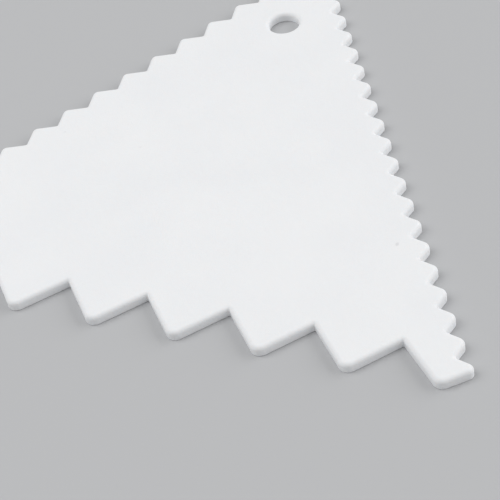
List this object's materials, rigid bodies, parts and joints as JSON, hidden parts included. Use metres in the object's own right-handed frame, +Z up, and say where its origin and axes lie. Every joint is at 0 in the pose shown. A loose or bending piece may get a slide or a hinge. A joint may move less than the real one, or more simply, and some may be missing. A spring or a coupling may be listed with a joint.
{
  "type": "cake comb",
  "caption": "Flat triangular moulded plate with large, small and medium rounded teeth on its three sides and a hanging hole, for combing ridges into icing.",
  "frame": {"origin": "middle of the triangle, on the flat underside", "axes": "+X along the row of large teeth, +Y towards the corner with the hanging hole, +Z up out of the face with the rounded edge"},
  "size_m": [0.1009, 0.089, 0.0017],
  "materials": {
    "white_plastic": "plain white moulded plastic with a satin gloss and a very fine surface texture"
  },
  "bodies": {
    "root": {"comb_plate": "white_plastic"}
  },
  "joints": []
}
